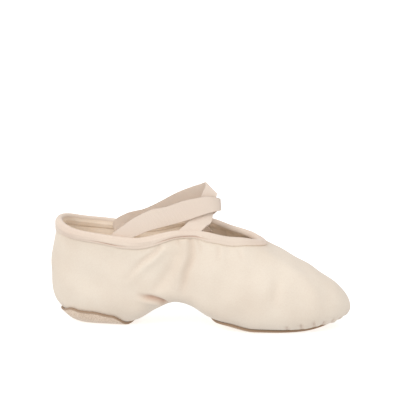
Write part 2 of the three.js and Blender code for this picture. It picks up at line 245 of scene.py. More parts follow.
        spine_x = np.clip(edge[..., 0], self.spine_back, self.spine_front)
        spine = np.stack([spine_x, self.outline.at("middle", spine_x), np.zeros_like(spine_x)], -1)
        inward = spine - edge
        inward[..., 2] = 0
        span = length_of(inward)
        reach = np.minimum(self.roll, span * self.roll_most)
        inward = unit(inward)
        foot = edge + inward * reach[..., None]
        foot[..., 2] = self.underside.at("z", foot[..., 0])
        fall = self.underside.at("z", foot[..., 0] + inward[..., 0]) - foot[..., 2]
        leave = edge.copy()
        leave[..., 2] -= (edge - foot)[..., 2] * self.roll_down
        meet = foot - inward * (reach * self.roll_in)[..., None]
        meet[..., 2] = foot[..., 2] - fall * reach * self.roll_in
        turn = cubic(edge, leave, meet, foot, np.clip(level - 1, 0, 1))

        under = foot + (spine - foot) * np.clip(level - 2, 0, 1)[..., None]
        under[..., 2] = self.underside.at("z", under[..., 0])
        return np.where((level <= 1)[..., None], wall, np.where((level < 2)[..., None], turn, under))

    def normal(self, angle: Array, level: Array) -> Array:
        """Outward normals: the step round crossed with the step down, or the underside's slope alone."""
        angle, level = np.broadcast_arrays(np.asarray(angle, float), np.asarray(level, float))
        around = self.face(angle + TINY, level) - self.face(angle - TINY, level)
        low = np.minimum(level + TINY, 2.0)
        high = np.clip(level - TINY, 0.0, None)
        down = self.face(angle, low) - self.face(angle, high)
        side = unit(np.cross(around, down))
        x = self.face(angle, level)[..., 0]
        slope = (self.underside.at("z", x + TINY) - self.underside.at("z", x - TINY)) / (2 * TINY)
        below = unit(np.stack([slope, np.zeros_like(slope), -np.ones_like(slope)], -1))
        return np.where((level >= 2)[..., None], below, side)

    def place_under(self, x: Array, y: Array) -> tuple[Array, Array]:
        """Angle and level of the point of the round edge or underside that lies over a plan point.

        Between the ends of the spine the straight lines inward run across the shoe, and past them
        they run to the spine's end, so the angle follows from x alone or from a direction. The level
        follows from the distance to the outline, read from a table of the edge's cubic.

        Args:
            x: plan places along the shoe.
            y: plan places across it.

        Returns:
            The angles and the levels, from 1 to 3.
        """
        spine_x = np.clip(x, self.spine_back, self.spine_front)
        middle = self.outline.at("middle", spine_x)
        side = np.where(y < middle, -1.0, 1.0)
        turn = np.arccos(np.clip(1 - 2 * x / self.length, -1, 1))
        table = np.linspace(0, math.pi, 721)
        for sign in (-1.0, 1.0):
            rim = self.outline_at(sign * table)
            for end, ahead in ((self.spine_back, -1.0), (self.spine_front, 1.0)):
                part = (rim[:, 0] - end) * ahead >= 0
                centre = self.outline.at("middle", np.array(end))
                bearing = np.arctan2(sign * (rim[part, 1] - centre), ahead * (rim[part, 0] - end))
                order = np.argsort(bearing)
                here = ((x - end) * ahead > 0) & (side == sign)
                wanted = np.arctan2(sign * (y - centre), ahead * (x - end))
                turn = np.where(here, np.interp(wanted, bearing[order], table[part][order]), turn)
        angle = side * turn
        edge = self.outline_at(angle)
        span = np.hypot(edge[..., 0] - spine_x, edge[..., 1] - middle)
        gone = np.hypot(edge[..., 0] - x, edge[..., 1] - y)
        reach = np.minimum(self.roll, span * self.roll_most)
        t = np.linspace(0, 1, 401)
        share = 3 * (1 - t) * t**2 * (1 - self.roll_in) + t**3
        turned = 1 + np.interp(gone / reach, share, t)
        flat = 2 + np.clip((gone - reach) / np.maximum(span - reach, 1e-6), 0, 1)
        return angle, np.where(gone < reach, turned, flat)


@dataclass(frozen=True)
class Crease:
    """A soft trough and ridge along a path on the canvas, placed one by one.

    Attributes:
        path: (angle in degrees, level) of the points that it passes.
        trough: depth in mm along the path.
        width: half breadth of the trough in mm.
        ridge: height of the ridge beside it, in mm.
        shift: distance of the ridge from the path in mm, above 0 to the left as the path goes.
        painted_shade: how much painted shade darkens the hollow, from 0 to 1.
        fade: share of the path over which it dies away at its start and at its end.
    """

    path: tuple[tuple[float, float], ...]
    trough: float
    width: float
    ridge: float = 0.0
    shift: float = 0.0
    painted_shade: float = 0.0
    fade: tuple[float, float] = (0.25, 0.3)

    RIDGE_WIDER = 1.5
    STEPS = 16  # points of the path between two that are given

    def apply(self, last: Last, points: Array, normals: Array) -> tuple[Array, Array]:
        """Rise and painted shade that the crease gives each point.

        Across the path the trough is a bell curve of the signed distance, and the ridge another one,
        half as wide again, at the shift. Both fade along the path towards its ends.

        Args:
            last: the surface that the path lies on.
            points: points of the surface, one a row.
            normals: their normals.

        Returns:
            The rise outward in mm and the painted shade, for each point.
        """
        rise = np.zeros(len(points))
        painted_shade = np.zeros(len(points))
        way = np.array(self.path, float)
        steps = np.linspace(0, len(way) - 1, self.STEPS * (len(way) - 1) + 1)
        angle = np.radians(through(way[:, 0], steps))
        line = last.face(angle, np.clip(through(way[:, 1], steps), 0, 3))
        ridge_width = self.width * self.RIDGE_WIDER
        reach = 3.0 * ridge_width + abs(self.shift)
        near = np.flatnonzero(((points > line.min(0) - reach) & (points < line.max(0) + reach)).all(1))
        if not len(near):
            return rise, painted_shade
        offset = points[near, None, :] - line[None]
        nearest = (offset**2).sum(-1).argmin(1)
        ahead = unit(np.gradient(line, axis=0))[nearest]
        offset = offset[np.arange(len(near)), nearest]
        left = unit(np.cross(normals[near], ahead))
        beside = (offset * left).sum(-1)
        along = nearest / (len(line) - 1)
        strength = smooth(along / max(self.fade[0], TINY)) * smooth((1 - along) / max(self.fade[1], TINY))
        past = (offset * ahead).sum(-1)
        strength = strength * np.exp(-(past / self.width) ** 2)
        hollow = np.exp(-(beside / self.width) ** 2)
        crest = np.exp(-((beside - self.shift) / ridge_width) ** 2)
        rise[near] = strength * (self.ridge * crest - self.trough * hollow)
        # painted shade: the trough's hollow is darkened where shade would fall in it
        painted_shade[near] = strength * self.painted_shade * hollow
        return rise, painted_shade


# each crease's sixth number is the painted shade of its hollow
OUTER_CREASES = (
    # the long pull from the collar down to the heel, with its bright ridge below it
    Crease(((-82, 0.13), (-80, 0.21), (-76, 0.34), (-72, 0.45), (-68, 0.61), (-64, 0.78), (-59, 0.99)),
           1.5, 2.1, 1.5, 4.2, 0.12, (0.15, 0.55)),
    # the broad valley between that ridge and the waist's main fold, running on into the pocket
    Crease(((-88, 0.2), (-85, 0.44), (-82, 0.64), (-79, 0.8), (-76, 0.96), (-71, 1.12)),
           1.6, 4.0, 0.0, 0.0, 0.06, (0.2, 0.25)),
    # the main fold of the waist, straight down into the arch, its crest behind its dark flank
    Crease(((-96, 0.06), (-95, 0.18), (-92, 0.43), (-88, 0.69), (-86, 0.93), (-84, 1.3)),
           1.7, 2.2, 1.7, -5.4, 0.16, (0.06, 0.35)),
    # short gathers under the binding
    Crease(((-90, 0.06), (-89, 0.16), (-88, 0.28)), 0.6, 1.3, 0.2, 2.2, 0.12, (0.1, 0.6)),
    Crease(((-99, 0.06), (-98, 0.22), (-96, 0.4)), 0.7, 1.5, 0.5, 2.6, 0.12, (0.1, 0.6)),
    Crease(((-109, 0.14), (-107, 0.23), (-104, 0.37), (-103, 0.52)), 0.7, 1.6, 0.45, 2.8, 0.1, (0.2, 0.6)),
    Crease(((-121, 0.14), (-118, 0.25), (-116, 0.36)), 0.5, 1.7, 0.3, 2.8, 0.08, (0.2, 0.6)),
    # the pocket where the heel's cup meets the arch, its hollow deep in painted shade
    Crease(((-66, 1.02), (-70, 1.13), (-73, 1.2), (-76, 1.33), (-78, 1.51), (-79, 1.75)),
           3.4, 2.1, 1.6, -3.6, 0.85, (0.45, 0.15)),
    # the lower side of the ball turns under along a soft line
    Crease(((-89, 0.75), (-94, 0.85), (-101, 0.96), (-108, 0.97), (-116, 1.06)),
           -0.9, 6.0, 0.0, 0.0, 0.0, (0.4, 0.4)),
    # a broad dent ahead of the ball and the line where the side breaks into the vamp's top
    Crease(((-129, 0.5), (-126, 0.65), (-123, 0.8), (-121, 0.98)), 1.0, 3.6, 0.7, 7.0, 0.05, (0.4, 0.4)),
    Crease(((-142, 0.06), (-142, 0.26), (-145, 0.41), (-147, 0.51), (-145, 0.63), (-144, 0.79), (-142, 0.93)),
           -1.5, 6.5, 0.0, 0.0, 0.0, (0.2, 0.3)),
)
# the inner side isn't seen, so its creases are milder and follow the outer side's
INNER_CREASES = (
    Crease(((92, 0.06), (90, 0.3), (87, 0.6), (84, 0.95), (82, 1.4)), 1.3, 2.6, 0.8, 4.6, 0.5, (0.1, 0.4)),
    Crease(((80, 0.12), (73, 0.34), (67, 0.6), (62, 0.9)), 1.2, 2.8, 0.9, -4.6, 0.4),
    Crease(((102, 0.08), (99, 0.32), (96, 0.62)), 0.6, 2.0, 0.3, 3.0, 0.3, (0.1, 0.6)),
    Crease(((112, 0.1), (108, 0.36), (104, 0.62)), 0.4, 2.4, 0.2, 3.5, 0.2, (0.2, 0.6)),
    Crease(((68, 1.05), (73, 1.25), (77, 1.55), (79, 1.9)), 1.8, 2.8, 0.8, 4.2, 0.7, (0.35, 0.2)),
    Crease(((134, 0.45), (126, 0.75), (121, 1.05)), 0.7, 6.0, 0.2, -9.0, 0.1, (0.4, 0.4)),
    Crease(((151, 0.02), (147, 0.25), (147, 0.5), (146, 0.7)), -0.7, 6.0, 0.0, 0.0, 0.0, (0.15, 0.4)),
)


def pleats() -> tuple[Crease, ...]:
    """Short gathers of the canvas where it is drawn under the toe and the heel, to the patches' edges."""
    toe = ((-172, 1.12), (-163, 1.22), (-155, 1.1), (-148, 1.24), (-141, 1.16), (-134, 1.3), (-127, 1.4),
           (176, 1.18), (167, 1.1), (158, 1.22), (150, 1.14), (141, 1.24), (132, 1.36))
    heel = ((-34, 1.3), (-20, 1.34), (-7, 1.3), (7, 1.36), (21, 1.3), (35, 1.34))
    # the gathers' hollows get painted shade too
    made = [Crease(((angle, start), (angle, 1.5), (angle, 2.1)), 1.3, 1.2, 0.6, 2.4, 0.4, (0.45, 0.1))
            for angle, start in toe]
    made += [Crease(((angle, start), (angle, 1.6), (angle, 2.0)), 0.4, 1.6, 0.2, 2.6, 0.2, (0.5, 0.1))
             for angle, start in heel]
    return tuple(made)


class Relief:
    """Rise and painted shade of the creased canvas over the last, kept on a fine grid and read between its
    points.
    """

    COLUMNS = 900
    ROWS = 240
    SWELL = 0.22  # mm of slow unevenness
    WAVES = ((0.21, 0.05, 0.13), (-0.11, 0.19, 0.16), (0.07, -0.16, 0.24), (0.29, 0.11, -0.08))

    def __init__(self, last: Last, creases: tuple[Crease, ...]) -> None:
        """Sum every crease and a slow swell of four plane waves over the grid."""
        self.last = last
        angle = np.linspace(-math.pi, math.pi, self.COLUMNS + 1)
        level = np.linspace(0, 3, self.ROWS + 1)
        points = last.face(angle[None], level[:, None])
        normals = last.normal(angle[None], level[:, None])
        flat, across = points.reshape(-1, 3), normals.reshape(-1, 3)
        rise = sum(np.sin(flat @ np.array(wave) + i) for i, wave in enumerate(self.WAVES)) * self.SWELL
        # painted shade of the creases: where they cross, the darkest is kept
        painted_shade = np.zeros(len(flat))
        for crease in creases:
            more, darker = crease.apply(last, flat, across)
            rise = rise + more
            painted_shade = np.maximum(painted_shade, darker)
        calm = smooth(level * 8) * (1 - smooth((level - 1.5) / 0.35))
        self.rise = rise.reshape(points.shape[:2]) * calm[:, None]
        self.painted_shade = painted_shade.reshape(points.shape[:2])

    def read(self, grid: Array, angle: Array, level: Array) -> Array:
        """Values of one of the grids between its points, mixed in both directions."""
        angle, level = np.broadcast_arrays(angle, level)
        u = (angle + math.pi) / (2 * math.pi) * self.COLUMNS % self.COLUMNS
        v = np.clip(level / 3, 0, 1) * self.ROWS
        i, j = np.clip(v.astype(int), 0, self.ROWS - 1), np.clip(u.astype(int), 0, self.COLUMNS - 1)
        s, t = v - i, u - j
        return ((grid[i, j] * (1 - t) + grid[i, j + 1] * t) * (1 - s)
                + (grid[i + 1, j] * (1 - t) + grid[i + 1, j + 1] * t) * s)

    def at(self, angle: Array, level: Array, depth: Array) -> Array:
        """Points at a depth from the creased canvas, above 0 outside it, along the last's normal."""
        lift = self.read(self.rise, angle, level) + depth
        return self.last.face(angle, level) + self.last.normal(angle, level) * lift[..., None]


class MeshMaker:
    """Puts grids of points into Blender meshes, in metres and in the frame's place."""

    @staticmethod
    def to_frame(points: Array) -> Array:
        """Millimetres from the heel's back to metres from the origin."""
        return (points - np.array([HEEL_REST, 0.0, 0.0])) * MM

    @classmethod
    def grid(cls, name: str, points: Array, uv: Array, wrap_rows: bool = False, keep: Array | None = None,
             attributes: dict[str, Array] | None = None, parts: Array | None = None,
             more: Array | None = None) -> bpy.types.Object:
        """Object from a grid of points whose columns close on themselves.

        Each cell between two rows and two columns is a quadrangle. Its corners run down the rows and
        then along the columns, so the faces look to the left of the columns' way when the rows go down.

        Args:
            name: name of the object.
            points: rows by columns by 3, in mm, without the closing column.
            uv: rows + 1 by columns + 1 by 2 places of the pattern, in mm.
            wrap_rows: whether the last row is joined to the first.
            keep: cells to keep, or all of them.
            attributes: numbers for each point, by the attribute's name.
            parts: material index of each cell.
            more: further quadrangles of the grid's points, of the first material.

        Returns:
            The object, linked into the scene, with doubled points merged.
        """
        rows, columns = points.shape[:2]
        last = rows if wrap_rows else rows - 1
        i, j = np.nonzero(np.ones((last, columns), bool) if keep is None else keep)
        below, beside = (i + 1) % rows, (j + 1) % columns
        corners = ((i, j), (below, j), (below, beside), (i, beside))
        quads = np.stack([row * columns + column for row, column in corners], -1)
        places = np.stack([uv[i, j], uv[i + 1, j], uv[i + 1, j + 1], uv[i, j + 1]], -2)
        part = np.zeros(len(i), int) if parts is None else parts[i, j]
        if more is not None:
            quads = np.concatenate([quads, more])
            places = np.concatenate([places, np.zeros((len(more), 4, 2))])
            part = np.append(part, np.zeros(len(more), int))
        return cls.build(name, points.reshape(-1, 3), quads, places, attributes, part)

    @classmethod
    def build(cls, name: str, points: Array, quads: Array, places: Array,
              attributes: dict[str, Array] | None = None, parts: Array | None = None) -> bpy.types.Object:
        """Object from points and quadrangles, with a UV place for each corner.

        Args:
            name: name of the object.
            points: one point a row, in mm.
            quads: four point numbers a row.
            places: four UV places a row.
            attributes: numbers for each point, by the attribute's name.
            parts: material index of each face.

        Returns:
            The object, with doubled points merged and faces of no area dropped.
        """
        mesh = bpy.data.meshes.new(name)
        mesh.vertices.add(len(points))
        mesh.vertices.foreach_set("co", cls.to_frame(points).astype(np.float32).ravel())
        mesh.loops.add(quads.size)
        mesh.loops.foreach_set("vertex_index", quads.astype(np.int32).ravel())
        mesh.polygons.add(len(quads))
        mesh.polygons.foreach_set("loop_start", np.arange(0, quads.size, 4, dtype=np.int32))
        mesh.update(calc_edges=True)
        layer = mesh.uv_layers.new(name="UVMap")
        layer.data.foreach_set("uv", places.astype(np.float32).ravel())
        for key, values in (attributes or {}).items():
            attribute = mesh.attributes.new(key, "FLOAT", "POINT")
            attribute.data.foreach_set("value", values.astype(np.float32).ravel())
        if parts is not None:
            mesh.polygons.foreach_set("material_index", parts.astype(np.int32).ravel())
        mesh.polygons.foreach_set("use_smooth", np.ones(len(quads), bool))
        shaped = bmesh.new()
        shaped.from_mesh(mesh)
        bmesh.ops.remove_doubles(shaped, verts=shaped.verts, dist=2e-6)
        bmesh.ops.dissolve_degenerate(shaped, edges=shaped.edges, dist=1e-7)
        shaped.to_mesh(mesh)
        shaped.free()
        mesh.validate()
        thing = bpy.data.objects.new(name, mesh)
        bpy.context.scene.collection.objects.link(thing)
        return thing


def columns_round(count: int, closer: float = 0.12) -> Array:
    """Angles of columns round the shoe, closer together at the waist than at the heel and toe."""
    share = np.linspace(-math.pi, math.pi, count, endpoint=False)
    return share + closer * np.sin(2 * share)


def arc_lengths(points: Array, axis: int) -> Array:
    """Distance gone from the first point along an axis of a grid of points."""
    steps = length_of(np.diff(points, axis=axis))
    start = np.zeros_like(np.take(steps, [0], axis))
    return np.concatenate([start, np.cumsum(steps, axis)], axis)


class Shader:
    """A material's node tree, with one method for every node that isn't plain arithmetic."""

    def __init__(self, name: str) -> None:
        """Make a material with a Principled shader and an output."""
        self.material = bpy.data.materials.new(name)
        self.material.use_nodes = True
        self.tree = self.material.node_tree
        self.tree.nodes.clear()
        self.surface = self.tree.nodes.new("ShaderNodeBsdfPrincipled")
        output = self.tree.nodes.new("ShaderNodeOutputMaterial")
        self.tree.links.new(self.surface.outputs["BSDF"], output.inputs["Surface"])

    def put(self, socket: bpy.types.NodeSocket, value: object) -> None:
        """Link a socket or a wrapped number to an input, or set its value."""
        if isinstance(value, Number):
            value = value.socket
        if isinstance(value, bpy.types.NodeSocket):
            self.tree.links.new(value, socket)
        elif value is not None:
            socket.default_value = value

    def node(self, kind: str, settings: dict[str, object], inputs: dict[object, object]) -> bpy.types.Node:
        """Add a node.

        Args:
            kind: its type, such as ShaderNodeTexNoise.
            settings: its properties, set first.
            inputs: values or links by the input's name or number.

        Returns:
            The node.
        """
        made = self.tree.nodes.new(kind)
        for key, value in settings.items():
            setattr(made, key, value)
        for key, value in inputs.items():
            self.put(made.inputs[key], value)
        return made

    def number(self, socket: bpy.types.NodeSocket) -> "Number":
        """Wrap a socket so that Python's operators work on it."""
        return Number(self, socket)

    def noise(self, scale: float, detail: float = 2.0, rough: float = 0.5) -> "Number":
        """Noise on Object coordinates, with so many cells to a metre."""
        place = self.node("ShaderNodeTexCoord", {}, {}).outputs["Object"]
        inputs = {"Vector": place, "Scale": scale, "Detail": detail, "Roughness": rough}
        return self.number(self.node("ShaderNodeTexNoise", {}, inputs).outputs[0])

    def attribute(self, name: str) -> "Number":
        """A number kept on the mesh."""
        return self.number(self.node("ShaderNodeAttribute", {"attribute_name": name}, {}).outputs["Fac"])

    def uv(self) -> tuple["Number", "Number"]:
        """The two places of the pattern, in mm."""
        place = self.node("ShaderNodeUVMap", {"uv_map": "UVMap"}, {})
        parts = self.node("ShaderNodeSeparateXYZ", {}, {0: place.outputs["UV"]})
        return self.number(parts.outputs["X"]), self.number(parts.outputs["Y"])

    def mix(self, share: object, low: object, high: object) -> bpy.types.NodeSocket:
        """Colour between two colours at a share."""
        settings = {"data_type": "RGBA", "clamp_factor": True}
        return self.node("ShaderNodeMix", settings, {0: share, 6: low, 7: high}).outputs[2]

    def finish(self, tone: object, rough: "Number", height: "Number", strength: float, sheen: float,
               specular: float) -> bpy.types.Material:
        """Join what the surface shows to the Principled shader.

        Args:
            tone: its colour.
            rough: its roughness.
            height: its relief in mm, shown as a bump.
            strength: of that bump.
            sheen: weight of the fuzz.
            specular: level of the plain reflection.

        Returns:
            The material.
        """
        bump = {"Height": height, "Strength": strength, "Distance": MM}
        self.put(self.surface.inputs["Base Color"], tone)
        self.put(self.surface.inputs["Roughness"], rough)
        self.put(self.surface.inputs["Normal"], self.node("ShaderNodeBump", {}, bump).outputs["Normal"])
        self.surface.inputs["Sheen Weight"].default_value = sheen
        self.surface.inputs["Specular IOR Level"].default_value = specular
        return self.material


class Number:
    """A number that changes over a surface. An expression on it adds Math nodes."""

    def __init__(self, shader: Shader, socket: bpy.types.NodeSocket) -> None:
        """Keep the shader and the socket that gives the number."""
        self.shader = shader
        self.socket = socket

    def do(self, operation: str, *values: object, clamp: bool = False) -> "Number":
        """The result of a Math node on these values."""
        inputs = dict(enumerate(values))
        made = self.shader.node("ShaderNodeMath", {"operation": operation, "use_clamp": clamp}, inputs)
        return Number(self.shader, made.outputs[0])

    def __add__(self, other: object) -> "Number":
        """Sum."""
        return self.do("ADD", self, other)

    __radd__ = __add__

    def __mul__(self, other: object) -> "Number":
        """Product."""
        return self.do("MULTIPLY", self, other)

    __rmul__ = __mul__

    def __sub__(self, other: object) -> "Number":
        """Difference."""
        return self.do("SUBTRACT", self, other)

    def __rsub__(self, other: object) -> "Number":
        """Difference from a value on the left."""
        return self.do("SUBTRACT", other, self)

    def sine(self) -> "Number":
        """Sine of radians."""
        return self.do("SINE", self)

    def between(self, low: float, high: float) -> "Number":
        """Share of the way from low to high, held between 0 and 1."""
        return self.do("MULTIPLY", self - low, 1.0 / (high - low), clamp=True)


Colour = tuple[float, float, float, float]


def colour(red: int, green: int, blue: int) -> Colour:
    """Linear colour of a shade seen on a screen, from 0 to 255 each: the sRGB curve taken back."""
    seen = np.array([red, green, blue]) / 255.0
    light = np.where(seen <= 0.04045, seen / 12.92, ((seen + 0.055) / 1.055) ** 2.4)
    return (*[float(part) for part in light], 1.0)


@dataclass(frozen=True)
class Cloth:
    """Plain woven cloth: two sets of threads, a slow change of shade, and painted shade that darkens its
    creases.

    Attributes:
        name: name of the material.
        plain: the cloth's colour.
        shade: the colour of its slightly deeper patches.
        hollow: the colour of the painted shade deep in a crease, which the weave's darker threads lean to as
            well.
        pitch: width of one thread in mm.
        weave: height of the weave in mm.
        sheen: how much light its fuzz catches.
        has_painted_shade: whether the mesh carries painted shade for its creases and grooves.
    """

    name: str
    plain: Colour
    shade: Colour
    hollow: Colour
    pitch: float = 0.42
    weave: float = 0.035
    sheen: float = 0.25
    has_painted_shade: bool = False

    def material(self) -> bpy.types.Material:
        """Build the material.

        The weave's height is the product of two sines, one for each set of threads, and a fine noise
        breaks its evenness. The colour runs between plain and shade by slow noise, to hollow by painted shade.

        Returns:
            The material.
        """
        shader = Shader(self.name)
        across, along = shader.uv()
        wave = 2 * math.pi / (2 * self.pitch)
        threads = (across * wave).sine() * (along * wave).sine()
        slub = shader.noise(900.0, 3.0)
        drift = shader.noise(28.0, 3.0)
        tone = shader.mix(drift.between(0.38, 0.68), self.plain, self.shade)
        tone = shader.mix((threads * 0.5 + 0.5) * 0.05 + slub.between(0.4, 0.75) * 0.06, tone, self.hollow)
        # painted shade: the creases and the binding's groove are darkened towards hollow
        if self.has_painted_shade:
            tone = shader.mix(shader.attribute("painted_shade") * 0.62, tone, self.hollow)
        height = threads * self.weave + slub * (self.weave * 0.8) + shader.noise(160.0, 2.0) * 0.05
        return shader.finish(tone, 0.86 + slub * 0.08, height, 0.7, self.sheen, 0.25)


@dataclass(frozen=True)
class Ribbed:
    """Flat elastic: fine ribs along its length between two plain edges, drawn in a little across.

    Attributes:
        name: name of the material.
        plain: the colour of the ribs.
        groove: the colour between them.
        pitch: from rib to rib in mm.
        width: of the band in mm.
    """

    name: str
    plain: Colour
    groove: Colour
    pitch: float = 0.95
    width: float = 16.0

    def material(self) -> bpy.types.Material:
        """Build the material: ribs are a sine across the band, and the crossing yarn one along it.

        Returns:
            The material.
        """
        shader = Shader(self.name)
        along, across = shader.uv()
        rib = (across * (2 * math.pi / self.pitch)).sine()
        yarn = (along * (2 * math.pi / 0.7)).sine()
        fuzz = shader.noise(1100.0, 3.0)
        drift = shader.noise(40.0, 2.0)
        tone = shader.mix((0.5 - rib * 0.5) * 0.28 + fuzz.between(0.4, 0.8) * 0.12, self.plain, self.groove)
        tone = shader.mix(drift.between(0.4, 0.75) * 0.15, tone, self.groove)
        height = rib * 0.07 + rib * yarn * 0.03 + fuzz * 0.03
        return shader.finish(tone, 0.72 + fuzz * 0.12, height, 0.8, 0.2, 0.35)


@dataclass(frozen=True)
class Suede:
    """Napped split leather, speckled, with a darker cut edge.

    Attributes:
        name: name of the material.
        nap: the colour of the raised fibre.
        fleck: the colour of the specks between.
        cut: the colour of the cut edge.
    """

    name: str
    nap: Colour
    fleck: Colour
    cut: Colour

    def material(self) -> bpy.types.Material:
        """Build the material: specks by fine noise, brushed patches by slow noise, the edge by its mask.

        Returns:
            The material.
        """
        shader = Shader(self.name)
        speck = shader.noise(1300.0, 4.0, rough=0.7)
        brushed = shader.noise(90.0, 3.0)
        tone = shader.mix(speck.between(0.42, 0.62), self.nap, self.fleck)
        tone = shader.mix(brushed.between(0.45, 0.75) * 0.3, tone, self.fleck)
        tone = shader.mix(shader.attribute("edge"), tone, self.cut)
        height = speck * 0.16 + brushed * 0.12
        return shader.finish(tone, 0.9 + speck * 0.1, height, 0.9, 0.35, 0.15)


# canvas and tape carry painted shade in their creases and groove; hollow is the colour of that shade
CANVAS = Cloth("canvas cloth", colour(236, 224, 208), colour(230, 216, 199), colour(176, 118, 86),
               has_painted_shade=True)
# the lining's own creamy tone, painted lighter to stand in for light shining through the thin canvas and
# falling into the shoe
LINING_PAINTED_LIGHT = Cloth("cotton lining painted lighter", colour(254, 240, 222), colour(250, 233, 213), colour(214, 172, 138),
               0.5, 0.03)
TAPE = Cloth("binding tape", colour(233, 217, 201), colour(227, 208, 192), colour(168, 112, 84),
             0.36, 0.03, has_painted_shade=True)
# the same tape as outside, painted lighter on the inside to stand in for light falling into the shoe
TAPE_INSIDE_LIT = Cloth("binding tape inside painted lighter", colour(253, 239, 221), colour(249, 231, 211), colour(200, 150, 118),
                  0.36, 0.03)
THREAD = Cloth("sewing thread", colour(230, 212, 196), colour(222, 203, 186), colour(150, 110, 90),
               0.15, 0.03)
ELASTIC = Ribbed("strap elastic", colour(235, 219, 204), colour(222, 202, 186))
SUEDE = Suede("sole suede", colour(238, 217, 196), colour(202, 178, 156), colour(158, 130, 106))
PAD = Cloth("insole cloth", colour(246, 230, 208), colour(238, 218, 194), colour(184, 142, 108), 0.5, 0.04)
Finish = Cloth | Ribbed | Suede


def made_once(finish: Finish) -> bpy.types.Material:
    """The material of a finish, built the first time that it is asked for."""
    return bpy.data.materials.get(finish.name) or finish.material()


def dress(thing: bpy.types.Object, slot: str, *finishes: Finish, stands_for: str = "") -> None:
    """Give a piece its materials and its place in the frame.

    Args:
        thing: the piece.
        slot: not used.
        finishes: one finish for each of its material indices.
        stands_for: the node that it replaces, if any.
    """
    for finish in finishes:
        thing.data.materials.append(made_once(finish))
    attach(thing, "root")
    if stands_for:
        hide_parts(stands_for)
    LOG.info("%s: %d faces", thing.name, len(thing.data.polygons))


@dataclass(frozen=True)
class PatchPlan:
    """Plan of a suede patch: the outline moved inward round one end, closed by half an ellipse.

    Attributes:
        end: 0 for the heel, 1 for the toe.
        until: x where the sides stop.
        bulge: how far the round end reaches past that.
        inset: distance inside the outline, by x.
    """

    end: int
    until: float
    bulge: float
    inset: Table

    def outline(self, last: Last, moved_in: float, count: int = 240) -> Array:
        """Plan points round the patch, moved in by a distance and spread evenly by length.

        Args:
            last: the shoe's surface.
            moved_in: further distance inside the patch's edge.
            count: number of points.

        Returns:
            x and y of each point.
        """
        reach = math.acos(1 - 2 * self.until / last.length)
        share = np.linspace(-1, 1, 241)
        angle = share * reach if self.end == 0 else math.pi + share * (math.pi - reach)
        angle = np.where(angle > math.pi, angle - 2 * math.pi, angle)
        tangent = last.outline_at(angle + TINY) - last.outline_at(angle - TINY)
        inward = unit(np.stack([tangent[:, 1], -tangent[:, 0]], -1))
        edge = last.outline_at(angle)
        width = self.inset.at("inset", edge[:, 0]) + moved_in
        sides = edge[:, :2] + inward * width[:, None]
        centre, half = (sides[0] + sides[-1]) / 2, (sides[-1] - sides[0]) / 2
        turn = np.linspace(0, math.pi, 91)[1:-1]
        ahead = (1 if self.end == 0 else -1) * (self.bulge - moved_in / 2)
        cap = centre + half * np.cos(turn)[:, None]
        cap[:, 0] += ahead * np.sin(turn)
        ring = np.concatenate([sides, cap, sides[:1]])
        gone = np.concatenate([[0], np.cumsum(np.hypot(*np.diff(ring, axis=0).T))])
        even = np.linspace(0, gone[-1], count, endpoint=False)
        return np.stack([np.interp(even, gone, ring[:, k]) for k in (0, 1)], -1)


HEEL_PATCH = PatchPlan(0, 50.0, 15.0, Table(("x", "inset"), [
    (0, 9), (6, 6.3), (19, 3.1), (33, 3.1), (50, 4.8),
]))
BALL_PATCH = PatchPlan(1, 142.0, 19.0, Table(("x", "inset"), [
    (142, 8), (165, 8.6), (185, 11), (200, 13), (231, 13),
]))


